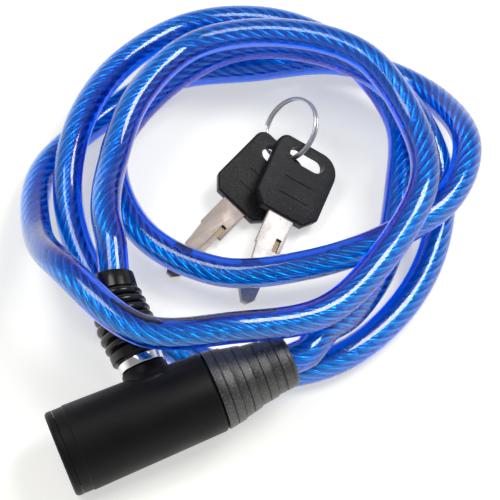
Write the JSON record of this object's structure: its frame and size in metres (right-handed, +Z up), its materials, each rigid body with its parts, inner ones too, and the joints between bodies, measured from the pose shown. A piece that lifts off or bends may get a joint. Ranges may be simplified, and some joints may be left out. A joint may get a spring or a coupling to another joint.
{
  "type": "cable lock",
  "caption": "Bicycle cable lock: a looped jacketed steel cable with a key cylinder head, a side-locking bolt in a ribbed boot, and keys on a split ring.",
  "frame": {"origin": "on the table, under the middle of the box round the lock head, the keys and the ring", "axes": "+Z up from the table, +X to the right and +Y away from the viewer in the picture"},
  "size_m": [0.1563, 0.1899, 0.0444],
  "materials": {
    "black_plastic": "fine matt moulded plastic",
    "bow_plastic": "grainy moulded plastic",
    "black_rubber": "satin moulded rubber",
    "blue_jacket": "clear blue vinyl over twisted steel strands",
    "chrome": "polished chrome plate",
    "nickel": "worn nickel plate over brass",
    "brass": "turned brass",
    "steel": "bright drawn steel",
    "zinc": "dull zinc die casting"
  },
  "bodies": {
    "lock_head": {"housing_sleeve": "black_plastic", "end_cap": "black_plastic", "strain_relief": "black_plastic", "core_body": "zinc", "cylinder_shell": "brass", "cylinder_pin": "steel", "latch_spring": "steel", "ejector_spring": "steel", "cable_anchor": "steel", "cable_head_end": "blue_jacket", "cable": "blue_jacket", "split_ring": "steel"},
    "plug": {"cylinder_plug": "brass", "wafer_1": "brass", "wafer_2": "brass", "wafer_3": "brass", "wafer_4": "brass", "wafer_5": "brass", "plug_clip": "steel"},
    "latch": {"latch": "steel"},
    "bolt": {"locking_bolt": "chrome", "bolt_boot": "black_rubber", "cable_bolt_end": "blue_jacket"},
    "key_1": {"key_1_bow": "bow_plastic", "key_1_blade": "nickel"},
    "key_2": {"key_2_bow": "bow_plastic", "key_2_blade": "nickel"}
  },
  "joints": [
    {"name": "key_turn", "type": "hinge", "parent": "lock_head", "child": "plug", "pos_m": [-0.0393, -0.0603, 0.01395], "axis": [0.9183, 0.3879, 0.0785], "range_deg": [0, 90]},
    {"name": "latch_slide", "type": "slide", "parent": "lock_head", "child": "latch", "axis": [-0.0171, 0.237, -0.9714], "range_m": [0, 0.00495], "deforming": ["latch_spring"]},
    {"name": "bolt_pull", "type": "slide", "parent": "lock_head", "child": "bolt", "axis": [-0.3954, 0.8907, 0.2243], "range_m": [0, 0.025], "deforming": ["cable"]},
    {"name": "key_1_swing", "type": "hinge", "parent": "lock_head", "child": "key_1", "pos_m": [0.03257, 0.05164, 0.01278], "axis": [0.3448, -0.2873, 0.8936], "range_deg": [-5, 5]},
    {"name": "key_2_swing", "type": "hinge", "parent": "lock_head", "child": "key_2", "pos_m": [0.02677, 0.05394, 0.00833], "axis": [0.1986, -0.2916, 0.9357], "range_deg": [-5, 5]}
  ],
  "couplings": [
    {"joint": "latch_slide", "follows": "key_turn", "m_per_rad": 0.003151},
    {"joint": "bolt_pull", "follows": "key_turn", "m_per_rad": 0.015279}
  ]
}
